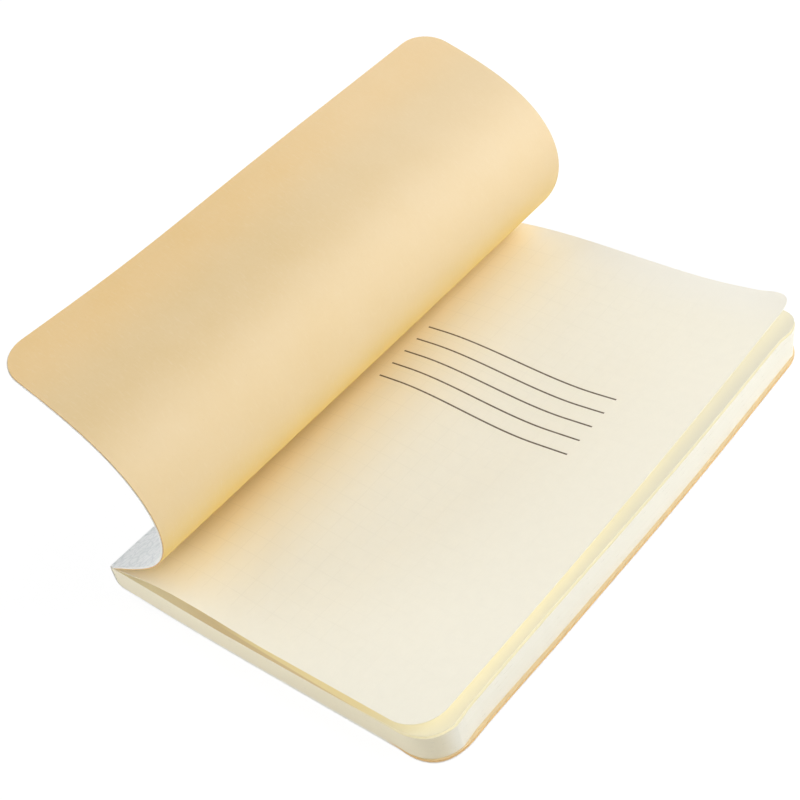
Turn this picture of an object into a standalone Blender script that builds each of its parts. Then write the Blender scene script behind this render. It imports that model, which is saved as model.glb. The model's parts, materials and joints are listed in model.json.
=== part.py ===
"""A soft-cover notebook of A6 size, lying on its back cover.

The front cover is bent up from the spine and curls back over it, and the first
two leaves have sprung up from the stack. The cover and the first leaf are soft,
so each is cut into strips that meet at bend lines. In this pose the strips
follow the smooth curve of the sheet, and turned about the bend lines they lay
it flat again.

Axes: X runs from the spine to the fore-edge, Y along the spine, Z up. The
origin is the middle of the flat face that the notebook rests on.
"""

import math

import bmesh
import bpy
import numpy as np
from mathutils import Vector

MM = 0.001

# Pages
PAGE_WIDTH = 105.0 * MM
PAGE_HEIGHT = 148.0 * MM
CORNER_RADIUS = 10.0 * MM
LEAF_THICKNESS = 0.12 * MM

# Sewn sections of the text block, each a pack of folded sheets
SECTION_COUNT = 5
SECTION_THICKNESS = 1.14 * MM
FOLD_SWELL = 0.32 * MM
SWELL_REACH = 42.0 * MM
SPINE_ROUNDING = 0.7 * MM
FORE_EDGE_SLANT = 0.8 * MM
FOLD_SETBACK = 1.3 * MM

# Cover: printed skin outside, kraft lining inside
SKIN_THICKNESS = 0.5 * MM
LINING_THICKNESS = 0.2 * MM
COVER_OVERHANG = 0.3 * MM
FORE_EDGE_SQUARE = 0.9 * MM
CREASE_TAKE_UP = 1.1 * MM
LINING_INSET = 0.3 * MM

# Clearances
PRESS_GAP = 0.1 * MM
BEND_GAP = 0.3 * MM
CREASE_GAP = 0.8 * MM
CREASE_CLEARANCE = 0.25 * MM
THREAD_CLEARANCE = 0.2 * MM

# Curl of the front cover: the slope of the sheet, from the crease to its edge
SLOPE_AT_CREASE = math.radians(21.9)
SLOPE_AT_EDGE = math.radians(160.5)
CURL_CENTRE = 51.2 * MM
CURL_SPREAD = 12.0 * MM
CURL_STRIPS = 6
CREASE_STRIP = 4.0 * MM

# Wave of the first leaf, by distance from its root in the gutter
LEAF_STUB = 3.0 * MM
RISE_BEND = 13.0 * MM
WAVE_CREST = 25.0 * MM
FALL_BEND = 50.0 * MM
WAVE_END = 76.0 * MM
WAVE_HEIGHT = 5.2 * MM
LEAF_REST_GAP = 2.4 * MM
LEAF_DRAW_IN = 2.0 * MM

# Second leaf
SECOND_LEAF_LIFT = 1.1 * MM
SECOND_LEAF_DRAW_IN = 0.4 * MM
LIFT_REACH = 30.0 * MM

# Spine: cloth lining and sewing thread behind the folds
CLOTH_THICKNESS = 0.25 * MM
THREAD_DIAMETER = 0.4 * MM
SEWING_STATIONS = 6
SEWING_MARGIN = 14.0 * MM
CLOTH_REACH = math.radians(32.0)
THREAD_REACH = math.radians(26.0)

# Mesh fineness
CORNER_STEPS = 6
STEP_LENGTH = 3.5 * MM
SPINE_STEPS = 14
FOLD_STEPS = 4
THREAD_STEPS = 4
PATH_STEPS = 2000
SHARP_ANGLE = math.radians(30.0)


# Levels of the stack, from the resting face up

LINING_LEVEL = SKIN_THICKNESS + PRESS_GAP
BLOCK_LEVEL = LINING_LEVEL + LINING_THICKNESS + PRESS_GAP
COVER_THICKNESS = SKIN_THICKNESS + PRESS_GAP + LINING_THICKNESS
BACK_WIDTH = PAGE_WIDTH + FORE_EDGE_SQUARE - FOLD_SETBACK
FRONT_WIDTH = BACK_WIDTH - CREASE_TAKE_UP
FORE_EDGE_X = BACK_WIDTH / 2
CREASE_X = -BACK_WIDTH / 2
BLOCK_EDGE_X = FORE_EDGE_X - FORE_EDGE_SQUARE
FOLD_X = CREASE_X - FOLD_SETBACK
PAGE_HALF = PAGE_HEIGHT / 2
COVER_HALF = PAGE_HALF + COVER_OVERHANG
CLOTH_INSET = SKIN_THICKNESS + PRESS_GAP
THREAD_INSET = CLOTH_INSET + CLOTH_THICKNESS + PRESS_GAP + THREAD_DIAMETER / 2
SPINE_BULGE = FOLD_SETBACK + SPINE_ROUNDING + THREAD_CLEARANCE + THREAD_DIAMETER / 2 + THREAD_INSET


def smoothstep(value):
    value = min(max(value, 0.0), 1.0)
    return value * value * (3.0 - 2.0 * value)


def swell_at(x):
    """Extra thickness of one section where its sheets are folded."""
    return FOLD_SWELL * (1.0 - smoothstep((x - FOLD_X) / SWELL_REACH))


def section_bottom(index, x):
    pitch = SECTION_THICKNESS + PRESS_GAP
    return BLOCK_LEVEL + index * (pitch + swell_at(x))


def section_top(index, x):
    return section_bottom(index, x) + SECTION_THICKNESS + swell_at(x)


def block_top(x):
    return section_top(SECTION_COUNT - 1, x)


SECOND_LEAF_LEVEL = block_top(FOLD_X) + PRESS_GAP
FIRST_LEAF_LEVEL = SECOND_LEAF_LEVEL + LEAF_THICKNESS + BEND_GAP
CREASE_INNER_Z = FIRST_LEAF_LEVEL + LEAF_THICKNESS + CREASE_CLEARANCE
CREASE_Z = CREASE_INNER_Z + COVER_THICKNESS
LEAF_ROOT_X = CREASE_X


def second_leaf_z(x):
    """Underside of the second leaf, which springs up along the fore-edge."""
    start = BLOCK_EDGE_X - LIFT_REACH
    return block_top(x) + PRESS_GAP + SECOND_LEAF_LIFT * smoothstep((x - start) / LIFT_REACH)


def first_leaf_z(x):
    """Underside of the first leaf: up from the gutter, over a crest and down."""
    reach = x - LEAF_ROOT_X
    share = min(max((reach - LEAF_STUB) / (WAVE_CREST - LEAF_STUB), 0.0), 1.0)
    rise = math.sin(math.pi / 2 * share)
    fall = 1.0 - smoothstep((reach - WAVE_CREST) / (WAVE_END - WAVE_CREST))
    resting = second_leaf_z(x) + LEAF_THICKNESS + LEAF_REST_GAP
    return FIRST_LEAF_LEVEL + (resting + WAVE_HEIGHT * fall - FIRST_LEAF_LEVEL) * rise


def cover_slope(distance):
    """Slope angle of the front cover at a distance from its crease."""
    turn = 1.0 / (1.0 + math.exp((CURL_CENTRE - distance) / CURL_SPREAD))
    return SLOPE_AT_CREASE + (SLOPE_AT_EDGE - SLOPE_AT_CREASE) * turn


class CurlPath:
    """Inner face of the front cover, followed by its slope from the crease."""

    def __init__(self, length):
        self.distances = np.linspace(0.0, length, PATH_STEPS + 1)
        middles = (self.distances[1:] + self.distances[:-1]) / 2
        slopes = np.array([cover_slope(d) for d in middles])
        step = length / PATH_STEPS
        self.xs = CREASE_X + np.concatenate([[0.0], np.cumsum(np.cos(slopes) * step)])
        self.zs = CREASE_INNER_Z + np.concatenate([[0.0], np.cumsum(np.sin(slopes) * step)])

    def point(self, distance, offset=0.0):
        """A point on the sheet, offset from the inner face towards the skin."""
        slope = cover_slope(distance)
        x = float(np.interp(distance, self.distances, self.xs))
        z = float(np.interp(distance, self.distances, self.zs))
        return x - math.sin(slope) * offset, z + math.cos(slope) * offset


def strip_bounds():
    """Distances of the bend lines that share the cover's turn out evenly."""
    first, last = cover_slope(0.0), cover_slope(FRONT_WIDTH)
    span = SLOPE_AT_EDGE - SLOPE_AT_CREASE
    bounds = [0.0, CREASE_STRIP]
    for index in range(1, CURL_STRIPS):
        share = (first + (last - first) * index / CURL_STRIPS - SLOPE_AT_CREASE) / span
        bounds.append(CURL_CENTRE + CURL_SPREAD * math.log(share / (1.0 - share)))
    bounds.append(FRONT_WIDTH)
    return bounds


def corner_inset(distance_to_edge):
    """How far a rounded corner has drawn in, at a distance from the edge."""
    short = CORNER_RADIUS - min(distance_to_edge, CORNER_RADIUS)
    return CORNER_RADIUS - math.sqrt(CORNER_RADIUS ** 2 - short ** 2)


def spaced(start, end, edge=None):
    """Places from start to end, closer together in the rounded corner at edge."""
    stop = end if edge is None else max(start, edge - CORNER_RADIUS)
    places = []
    if stop > start:
        count = max(1, math.ceil((stop - start) / STEP_LENGTH))
        places = [start + (stop - start) * i / count for i in range(count + 1)]
    if edge is not None:
        first = math.acos(min(1.0, (CORNER_RADIUS - (edge - max(start, stop))) / CORNER_RADIUS))
        last = math.acos(min(1.0, (CORNER_RADIUS - (edge - end)) / CORNER_RADIUS))
        for i in range(0 if not places else 1, CORNER_STEPS + 1):
            angle = first + (last - first) * i / CORNER_STEPS
            places.append(edge - CORNER_RADIUS * (1.0 - math.cos(angle)))
    return places


def make_material(name, colour, roughness):
    material = bpy.data.materials.new(name)
    material.use_nodes = True
    shader = material.node_tree.nodes["Principled BSDF"]
    shader.inputs["Base Color"].default_value = (*colour, 1.0)
    shader.inputs["Roughness"].default_value = roughness
    shader.inputs["Metallic"].default_value = 0.0
    return material


def add_sheet(name, stations, material, pivot=None, parent=None):
    """A closed solid that spans the stations, each (lower, upper, half height).

    lower and upper are (x, z) points on the two faces of the sheet, and the
    half height is how far it reaches along Y on either side. The object's
    origin is at the pivot, which is the bend line it turns about.
    """
    origin = Vector((pivot[0], 0.0, pivot[1])) if pivot else Vector((0.0, 0.0, 0.0))
    mesh = bmesh.new()
    rings = []
    for lower, upper, half in stations:
        corners = ((lower, -half), (upper, -half), (upper, half), (lower, half))
        rings.append([mesh.verts.new(Vector((p[0], y, p[1])) - origin) for p, y in corners])
    for ring, following in zip(rings, rings[1:]):
        for i in range(4):
            j = (i + 1) % 4
            mesh.faces.new((ring[i], ring[j], following[j], following[i]))
    mesh.faces.new(rings[0])
    mesh.faces.new(rings[-1])
    bmesh.ops.recalc_face_normals(mesh, faces=mesh.faces)
    data = bpy.data.meshes.new(name)
    mesh.to_mesh(data)
    mesh.free()
    data.shade_smooth()
    data.set_sharp_from_angle(angle=SHARP_ANGLE)
    data.materials.append(material)
    piece = bpy.data.objects.new(name, data)
    bpy.context.scene.collection.objects.link(piece)
    place(piece, origin, parent)
    return piece


def place(piece, origin, parent):
    """Puts a piece at a world point, under a parent that is only moved, not turned."""
    if parent is None:
        piece.location = origin
        return
    piece.parent = parent
    offset = Vector((0.0, 0.0, 0.0))
    holder = parent
    while holder is not None:
        offset += holder.location
        holder = holder.parent
    piece.location = origin - offset


def add_pivot(name, x, z, parent=None):
    """An empty on a bend line, which the pieces beyond that line hang from."""
    pivot = bpy.data.objects.new(name, None)
    bpy.context.scene.collection.objects.link(pivot)
    place(pivot, Vector((x, 0.0, z)), parent)
    return pivot


def build_section(index, material):
    """One sewn section: a rounded fold at the spine, square at the fore-edge."""
    level = (index + 0.5) / SECTION_COUNT
    fold = FOLD_X - SPINE_ROUNDING * (1.0 - (2.0 * level - 1.0) ** 2)
    edge = BLOCK_EDGE_X - FORE_EDGE_SLANT * level
    half_thickness = (section_top(index, fold) - section_bottom(index, fold)) / 2
    stations = []
    for step in range(1, FOLD_STEPS):
        turn = math.pi / 2 * step / FOLD_STEPS
        x = fold + half_thickness * (1.0 - math.cos(turn))
        middle = (section_top(index, x) + section_bottom(index, x)) / 2
        reach = half_thickness * math.sin(turn)
        stations.append(((x, middle - reach), (x, middle + reach), PAGE_HALF))
    for x in spaced(fold + half_thickness, edge, edge):
        half = PAGE_HALF - corner_inset(edge - x)
        stations.append(((x, section_bottom(index, x)), (x, section_top(index, x)), half))
    return add_sheet(f"section_{index + 1}", stations, material)


def spine_point(angle, inset):
    """A point on the rounded spine, inset from its outer face.

    The angle runs from 90 degrees at the crease to -90 at the resting face.
    """
    middle = CREASE_Z / 2
    across, up = math.cos(angle) * SPINE_BULGE, math.sin(angle) * middle
    normal = Vector((math.cos(angle) / SPINE_BULGE, math.sin(angle) / middle)).normalized()
    return CREASE_X - across + normal.x * inset, middle + up - normal.y * inset


def build_back_skin(material):
    """Back cover and spine in one sheet, from the crease round to the fore-edge."""
    stations = []
    for i in range(SPINE_STEPS):
        angle = math.pi * (0.5 - i / SPINE_STEPS)
        stations.append((spine_point(angle, SKIN_THICKNESS), spine_point(angle, 0.0), COVER_HALF))
    for x in spaced(CREASE_X, FORE_EDGE_X, FORE_EDGE_X):
        half = COVER_HALF - corner_inset(FORE_EDGE_X - x)
        stations.append(((x, SKIN_THICKNESS), (x, 0.0), half))
    return add_sheet("back_cover_skin", stations, material)


def build_back_lining(material):
    """Kraft lining of the back cover, just short of its edges."""
    edge = FORE_EDGE_X - LINING_INSET
    stations = []
    for x in spaced(CREASE_X, edge, edge):
        half = COVER_HALF - LINING_INSET - corner_inset(edge - x)
        stations.append(((x, LINING_LEVEL), (x, LINING_LEVEL + LINING_THICKNESS), half))
    return add_sheet("back_lining", stations, material)


def build_spine_cloth(material):
    """Strip of cloth glued down the spine, between the folds and the skin."""
    stations = []
    inner = CLOTH_INSET + CLOTH_THICKNESS
    for i in range(SPINE_STEPS + 1):
        angle = CLOTH_REACH * (1.0 - 2.0 * i / SPINE_STEPS)
        half = PAGE_HALF - BEND_GAP
        stations.append((spine_point(angle, inner), spine_point(angle, CLOTH_INSET), half))
    return add_sheet("spine_cloth", stations, material)


def build_thread(material):
    """Sewing thread, up and down behind the folds and along from station to station."""
    span = PAGE_HEIGHT - 2 * SEWING_MARGIN
    points = []
    for station in range(SEWING_STATIONS):
        y = -PAGE_HALF + SEWING_MARGIN + span * station / (SEWING_STATIONS - 1)
        way = 1 if station % 2 == 0 else -1
        for i in range(THREAD_STEPS + 1):
            angle = way * THREAD_REACH * (2.0 * i / THREAD_STEPS - 1.0)
            x, z = spine_point(angle, THREAD_INSET)
            points.append((x, y, z))
    curve = bpy.data.curves.new("sewing_thread", "CURVE")
    curve.dimensions = "3D"
    curve.bevel_depth = THREAD_DIAMETER / 2
    curve.bevel_resolution = 1
    curve.use_fill_caps = True
    spline = curve.splines.new("POLY")
    spline.points.add(len(points) - 1)
    for spline_point, point in zip(spline.points, points):
        spline_point.co = (*point, 1.0)
    curve.materials.append(material)
    thread = bpy.data.objects.new("sewing_thread", curve)
    bpy.context.scene.collection.objects.link(thread)
    return thread


def build_front_cover(skin, lining, holder):
    """Front cover in strips, each hung from the bend line at its spine side."""
    path = CurlPath(FRONT_WIDTH)
    bounds = strip_bounds()
    lining_edge = FRONT_WIDTH - LINING_INSET
    skin_from = LINING_THICKNESS + PRESS_GAP
    for index, (start, end) in enumerate(zip(bounds, bounds[1:])):
        if index == 0:
            name, hinge = "front_crease", (CREASE_X, CREASE_Z)
        elif index == 1:
            name, hinge = "front_score", path.point(start, COVER_THICKNESS)
        else:
            name, hinge = f"front_bend_{index - 1}", path.point(start, COVER_THICKNESS / 2)
        holder = add_pivot(name, *hinge, holder)
        first = start + (CREASE_GAP if index == 0 else BEND_GAP / 2)
        is_last = index == len(bounds) - 2
        last = end if is_last else end - BEND_GAP / 2
        stations = []
        for d in spaced(first, last, FRONT_WIDTH if is_last else None):
            half = COVER_HALF - corner_inset(FRONT_WIDTH - d)
            stations.append((path.point(d, skin_from), path.point(d, COVER_THICKNESS), half))
        add_sheet(f"front_skin_{index + 1}", stations, skin, hinge, holder)
        last = lining_edge if is_last else last
        stations = []
        for d in spaced(first, last, lining_edge if is_last else None):
            half = COVER_HALF - LINING_INSET - corner_inset(lining_edge - d)
            stations.append((path.point(d), path.point(d, LINING_THICKNESS), half))
        add_sheet(f"front_lining_{index + 1}", stations, lining, hinge, holder)


def build_first_leaf(material):
    """First leaf in strips, from its stub in the gutter to the fore-edge.

    The stub turns about the cover's crease and carries the cover, because a
    leaf can only turn over as far as the cover that lies behind it.
    """
    edge = BLOCK_EDGE_X - FORE_EDGE_SLANT - LEAF_DRAW_IN
    bends = (0.0, LEAF_STUB, RISE_BEND, WAVE_CREST, FALL_BEND, WAVE_END)
    bounds = [LEAF_ROOT_X + bend for bend in bends] + [edge]
    stub_holder = add_pivot("first_leaf_turn", CREASE_X, CREASE_Z)
    holder = stub_holder
    for index, (start, end) in enumerate(zip(bounds, bounds[1:])):
        hinge = (start, first_leaf_z(start) + LEAF_THICKNESS / 2)
        if index > 0:
            holder = add_pivot(f"first_leaf_bend_{index}", *hinge, holder)
        is_last = index == len(bounds) - 2
        first = start if index == 0 else start + BEND_GAP / 2
        last = end if is_last else end - BEND_GAP / 2
        stations = []
        for x in spaced(first, last, edge if is_last else None):
            z = first_leaf_z(x)
            half = PAGE_HALF - corner_inset(edge - x)
            stations.append(((x, z), (x, z + LEAF_THICKNESS), half))
        pivot = (CREASE_X, CREASE_Z) if index == 0 else hinge
        add_sheet(f"first_leaf_{index + 1}", stations, material, pivot, holder)
    return stub_holder


def build_second_leaf(material):
    """Second leaf, flat on the block but for its sprung fore-edge."""
    edge = BLOCK_EDGE_X - FORE_EDGE_SLANT - SECOND_LEAF_DRAW_IN
    hinge = (CREASE_X, second_leaf_z(CREASE_X) + LEAF_THICKNESS / 2)
    holder = add_pivot("second_leaf_turn", *hinge)
    stations = []
    for x in spaced(CREASE_X, edge, edge):
        z = second_leaf_z(x)
        half = PAGE_HALF - corner_inset(edge - x)
        stations.append(((x, z), (x, z + LEAF_THICKNESS), half))
    return add_sheet("second_leaf", stations, material, hinge, holder)


def main():
    for old in list(bpy.data.objects):
        bpy.data.objects.remove(old, do_unlink=True)
    page = make_material("cream_paper", (0.87, 0.82, 0.68), 0.85)
    kraft = make_material("kraft_paper", (0.84, 0.60, 0.33), 0.75)
    skin = make_material("grey_linen_paper", (0.60, 0.64, 0.66), 0.60)
    cloth = make_material("white_cloth", (0.80, 0.78, 0.72), 0.90)
    thread = make_material("linen_thread", (0.85, 0.83, 0.76), 0.80)
    build_back_skin(skin)
    build_back_lining(kraft)
    for index in range(SECTION_COUNT):
        build_section(index, page)
    build_spine_cloth(cloth)
    build_thread(thread)
    build_second_leaf(page)
    holder = build_first_leaf(page)
    build_front_cover(skin, kraft, holder)


main()
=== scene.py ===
"""Looks of the notebook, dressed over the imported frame.

Lengths are in metres in the frame's own axes: X from the spine to the
fore-edge, Y along the spine, Z up. The cover, the leaves and the sections are
modelled as the paper that they are, each sheet as one smooth surface that is
parted only where two bodies of the frame meet.
"""

import json
import math
import random

import bpy
import numpy as np
from mathutils import Matrix, Quaternion, Vector


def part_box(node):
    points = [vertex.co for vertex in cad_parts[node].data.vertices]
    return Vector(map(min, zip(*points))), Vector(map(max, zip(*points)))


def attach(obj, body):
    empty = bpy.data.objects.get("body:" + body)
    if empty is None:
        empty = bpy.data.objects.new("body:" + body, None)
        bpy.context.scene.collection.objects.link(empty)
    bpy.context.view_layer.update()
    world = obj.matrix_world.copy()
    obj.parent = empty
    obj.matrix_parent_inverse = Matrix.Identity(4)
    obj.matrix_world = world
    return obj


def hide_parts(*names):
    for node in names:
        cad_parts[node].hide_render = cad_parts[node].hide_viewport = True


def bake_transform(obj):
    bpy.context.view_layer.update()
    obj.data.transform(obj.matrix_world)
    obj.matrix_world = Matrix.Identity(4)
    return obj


MM = 0.001


def mm(*values):
    return tuple(value * MM for value in values)


# Sheets, in metres
PAGE_WIDTH = 105.0 * MM
LEAF_THICKNESS = 0.12 * MM
LINING_THICKNESS = 0.30 * MM
SKIN_THICKNESS = 0.5 * MM
FRONT_WIDTH = 103.5 * MM
LINING_INSET = 0.15 * MM
LEAVES_PER_SECTION = 9

# Rounded corners: radius, and how many degrees short of square the round starts
# at the fore-edge, where the knife left a faint angle on the block
COVER_CORNER = (8.2 * MM, 0.0)
LEAF_CORNER = (8.4 * MM, 0.0)
BLOCK_CORNER = (11.4 * MM, 20.0)
BACK_CORNER = (11.0 * MM, 0.0)

# Curl of the cover at its near and far end: slope at the crease and at the edge
# in degrees, distance of the middle of the turn, and how far it spreads
CURL_NEAR = (20.5, 158.9, 50.3 * MM, 12.2 * MM)
CURL_FAR = (25.6, 160.5, 52.2 * MM, 10.8 * MM)
CURL_SWELL = 0.4 * MM

# Steps of the curl, from a little before the crease, and stations along Y
CURL_STEPS = 1600
CURL_LEAD = 2.0 * MM
CURL_STATIONS = 33

# Sag of the cover's free edge: tilt from end to end, depth, place along Y and
# reach, and where on the cover it starts and is full, past the edge
SAG_TILT = 0.9 * MM
SAG_DEPTH = 1.6 * MM
SAG_PLACE = -36.0 * MM
SAG_REACH = 34.0 * MM
SAG_START = 58.0 * MM
SAG_PAST = 6.0 * MM

# Room that the shut cover leaves for the crest of the first leaf: height at the
# near and the far end, and how far along the cover it rises and falls
CREST_ROOM = mm(0.2, 2.1)
CREST_ROOM_RISE = 6.0 * MM
CREST_ROOM_FALL = mm(12.0, 32.0)

# How far the far ends of the cover and the first leaf lie further along the line
# of sight: start and growth along Y, then by distance on each sheet
SLIDE = 2.2 * MM
SLIDE_START = -20.0 * MM
SLIDE_GROWTH = 100.0 * MM
SLIDE_COVER = mm(50.0, 45.0)
SLIDE_LEAF = mm(4.0, 26.0)

# Wave of the first leaf: values at the near end, the middle and the far end
WAVE_MIDDLE = 0.6
CREST_REACH = mm(25.0, 21.0, 18.5)
CREST_END = mm(27.0, 26.0, 22.0)
CREST_HEIGHT = mm(12.5, 15.1, 16.6)
TROUGH_REACH = mm(56.0, 71.0, 84.5)
TROUGH_HEIGHT = mm(10.9, 9.6, 12.1)
EDGE_HEIGHT = mm(10.7, 10.4, 13.0)
EDGE_LIFT_LEAD = 12.0 * MM
LEAF_ROOT_DROP = 0.22 * MM

# Root of the loose leaves, by distance from the crease
ROOT_START = -1.1 * MM
ROOT_END = 1.4 * MM
SECOND_ROOT_END = 0.8 * MM

# Droop of the second leaf at its fore-edge
SECOND_DROOP = 0.3 * MM
DROOP_START = 41.0 * MM
DROOP_REACH = 9.0 * MM

# Pull on the far fore-edge corner of the leaves and of the top of the block, and
# how far from the corner it is felt
LEAF_PULL = (mm(1.74, 1.8, 0.86), 9.7 * MM)
SECOND_PULL = (mm(2.3, 1.8, 0.0), 12.0 * MM)
BLOCK_PULL = (mm(2.2, 1.7, 0.0), 12.0 * MM)

# The same at the near fore-edge corner, for all that lies below the first leaf
NEAR_PULL = (mm(1.05, -1.15, 0.0), 13.0 * MM)

# Bow of the fore-edge: how far it stands out, its place and reach along Y; and
# how far the foot stands back from it, and more at the near corner
BOW = mm(0.85, 16.0, 70.0)
FOOT_BACK = 0.22 * MM
FOOT_CORNER_BACK = 0.65 * MM
FOOT_CORNER = mm(-30.0, 36.0)
BOW_START = 15.0 * MM
BOW_GROWTH = 30.0 * MM

# Outer face of the spine from the crease to the flat of the back cover, in X and
# Z, in millimetres
SPINE_POINTS = (
    (-52.1, 10.45), (-53.1, 10.2), (-53.9, 9.55), (-54.45, 8.5), (-54.8, 6.7), (-55.05, 4.9), (-55.15, 3.6),
    (-54.9, 2.65), (-54.25, 2.0), (-53.2, 1.68), (-50.8, 1.58), (-46.9, 1.42), (-43.0, 1.15),
    (-35.0, 0.62), (-25.0, 0.32), (-12.0, 0.06), (-4.0, 0.0),
)
SPINE_STEP = 0.5 * MM
SPINE_TUCK = 0.1 * MM
WRAP_THICKNESS = 0.25 * MM
WRAP_OVERHANG = 0.06 * MM
CLOTH_THICKNESS = 0.2 * MM
CLOTH_INSET = 0.15 * MM

# Where the turn of the spine ends, and how far the cloth reaches, in X and Z
SPINE_TURN_END = mm(-52.0, 3.0)
CLOTH_LIMITS = mm(-53.2, 9.4)

# Lining of the back cover, which thickens from the spine on
LINING_THIN = 0.04 * MM
BOARD_THICKNESS = 0.60 * MM
BOARD_START = mm(-50.0, -28.0)
LINING_STARTS_AFTER = 3

# Text block: its sizes, the rounding of the folds, and the gaps between the
# leaves at the cut edges
SECTIONS = 5
BLOCK_HEIGHT = 6.5 * MM
BLOCK_TIP = -54.0 * MM
TIP_ROWS = mm(0.0, 0.4)
BLOCK_EDGE = 51.4 * MM
BLOCK_BACK = 0.8 * MM
BLOCK_BACK_REACH = 9.0 * MM
FOLD_ROUND = 0.45 * MM
FOLD_REACH = 7.0 * MM
FOLD_GAP = 0.07 * MM
SECTION_SHARE = 0.995
GROOVE = 0.010 * MM
UNEVEN = 0.008 * MM
WAVES_PER_METRE = 60.0
BLOCK_COLUMNS = 34
BLOCK_UNDER_LEAF = 0.62 * MM
SLIT = 0.03 * MM
FIRST_SEED = 40
SECTION_SHARP = 45.0

# Printed lines on the title page, and the squares on the pages
RULE_START = 21.3 * MM
RULE_LENGTH = 59.2 * MM
RULE_LOWEST = 5.9 * MM
RULE_SPACING = 5.15 * MM
RULE_COUNT = 5
RULE_WIDTH = 0.44 * MM
SQUARE = 5.0 * MM
SQUARE_SHIFT = mm(4.7, -0.7)
SQUARE_LINE = 0.22 * MM
SQUARE_MARGIN = 4.8 * MM

# Camera of the photograph
CAMERA_PLACE = (0.19965, -0.16769, 0.22784)
CAMERA_TURN = 142.56
CAMERA_PITCH = -37.60
CAMERA_ROLL = -18.92
CAMERA_LENS = 62.47
CAMERA_SENSOR = 36.0
CAMERA_CLIP = 0.01

# Rays that see the white background besides the camera's
BACKGROUND_RAYS = ("Is Glossy Ray", "Is Transmission Ray")

# Light: the world's strength beside its white background, the floor's grey and
# its white, and the lamps, in metres; each by name, direction in degrees from
# +X, elevation and power
WORLD_LIGHT = 0.175
WHITE = (1.0, 1.0, 1.0, 1.0)
FLOOR_GREY = (0.86, 0.86, 0.86, 1.0)
FLOOR_GLOW = 1.09
FLOOR_WHITE_SHARE = 0.83
FLOOR_HALF = 6.0
FLOOR_LEVEL = -0.05 * MM
LAMP_DISTANCE = 1.1
LAMP_SIZE = 0.6
LAMP_TARGET = (0.0, 0.0, 0.02)
LAMPS = (
    ("key_softbox", 35, 35, 4.3),
    ("side_softbox", 15, 35, 1.8),
    ("low_softbox", 20, 6, 1.4),
    ("low_back_softbox", 50, 6, 0.9),
    ("high_softbox", 50, 55, 2.2),
    ("back_softbox", 90, 20, 1.6),
    ("back_left_softbox", 135, 20, 1.9),
    ("high_left_softbox", 200, 55, 2.1),
    ("front_left_softbox", 225, 20, 2.6),
    ("front_softbox", 260, 10, 3.2),
)

# Sampling of the sheets
STEP = 0.9 * MM
COLUMNS = 41
CORNER_STEPS = 12

# The flat coordinate of a sheet is stored in its UV map, ten for every metre
UV_UNIT = 10.0

# Bend lines in the cover and in the first leaf, and the length of a blend across
# one, as a multiple of the way to it
BENDS = 5
COVER_BLEND = 2.2

# How close two faces of different sheets may come
CLEARANCE = 0.01 * MM

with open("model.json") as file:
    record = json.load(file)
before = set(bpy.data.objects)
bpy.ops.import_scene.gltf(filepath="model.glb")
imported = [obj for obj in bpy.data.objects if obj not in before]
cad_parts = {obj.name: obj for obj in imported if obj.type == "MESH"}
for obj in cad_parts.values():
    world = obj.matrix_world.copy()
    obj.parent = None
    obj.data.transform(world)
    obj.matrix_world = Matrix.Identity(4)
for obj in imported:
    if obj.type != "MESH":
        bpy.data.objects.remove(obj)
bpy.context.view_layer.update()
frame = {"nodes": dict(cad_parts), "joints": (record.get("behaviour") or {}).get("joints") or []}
joints = {joint["name"]: joint for joint in frame["joints"]}


def joint_place(name):
    x, _, z = joints[name]["pos_m"]
    return x, z


CREASE_X, CREASE_Z = joint_place("first_leaf_turn")
SKIN_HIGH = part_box("back_cover_skin")[1]
LEAF_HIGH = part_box("first_leaf_6")[1]
SECOND_LOW, SECOND_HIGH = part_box("second_leaf")
COVER_HALF = SKIN_HIGH.y
PAGE_HALF = LEAF_HIGH.y
FORE_EDGE_X = SKIN_HIGH.x
COVER_THICKNESS = SKIN_THICKNESS + LINING_THICKNESS
CREASE_INNER_Z = CREASE_Z - COVER_THICKNESS
LEAF_REACH = LEAF_HIGH.x - CREASE_X
LEAF_ROOT_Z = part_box("first_leaf_1")[0].z


def smoothstep(value):
    value = np.clip(value, 0.0, 1.0)
    return value * value * (3.0 - 2.0 * value)


def run_length(points):
    """Distances along a line of points, or along the lines of a grid, from the start."""
    steps = np.linalg.norm(np.diff(points, axis=0), axis=-1)
    return np.concatenate([np.zeros_like(steps[:1]), np.cumsum(steps, axis=0)])


def through(values, share):
    """A smooth value through three others, at shares 0, WAVE_MIDDLE and 1."""
    first, middle, last = values
    t, m = np.asarray(share, float), WAVE_MIDDLE
    a = (t - m) * (t - 1.0) / m
    b = t * (t - 1.0) / (m * (m - 1.0))
    c = t * (t - m) / (1.0 - m)
    return first * a + middle * b + last * c


def corner_inset(distance_to_edge, corner):
    """How far a rounded corner has drawn in, at a distance from the edge."""
    radius, short = corner
    reach = radius * math.cos(math.radians(short))
    across = reach - np.clip(distance_to_edge, 0.0, reach)
    return radius - np.sqrt(np.maximum(radius ** 2 - across ** 2, 0.0))


def stations(stops, corner=None):
    """Distances along a sheet that hold every stop, closer in the corner at its end."""
    found = [stops[0]]
    for start, end in zip(stops, stops[1:]):
        bend = end
        if corner is not None and end == stops[-1]:
            bend = end - corner[0]
        count = max(1, math.ceil((bend - start) / STEP))
        found += [start + (bend - start) * i / count for i in range(1, count + 1)]
        if bend < end:
            turns = [math.sin(math.pi / 2 * i / CORNER_STEPS) for i in range(1, CORNER_STEPS + 1)]
            found += [bend + (end - bend) * turn for turn in turns]
    return np.array(found)


def corner_pull(points, place, pull):
    """Points moved with a corner of the page, the more the nearer to it."""
    move, reach = pull
    away = np.hypot(points[..., 0] - place[0], points[..., 1] - place[1])
    share = 1.0 - smoothstep(away / reach)
    return points + share[..., None] * np.array(move)


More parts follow.
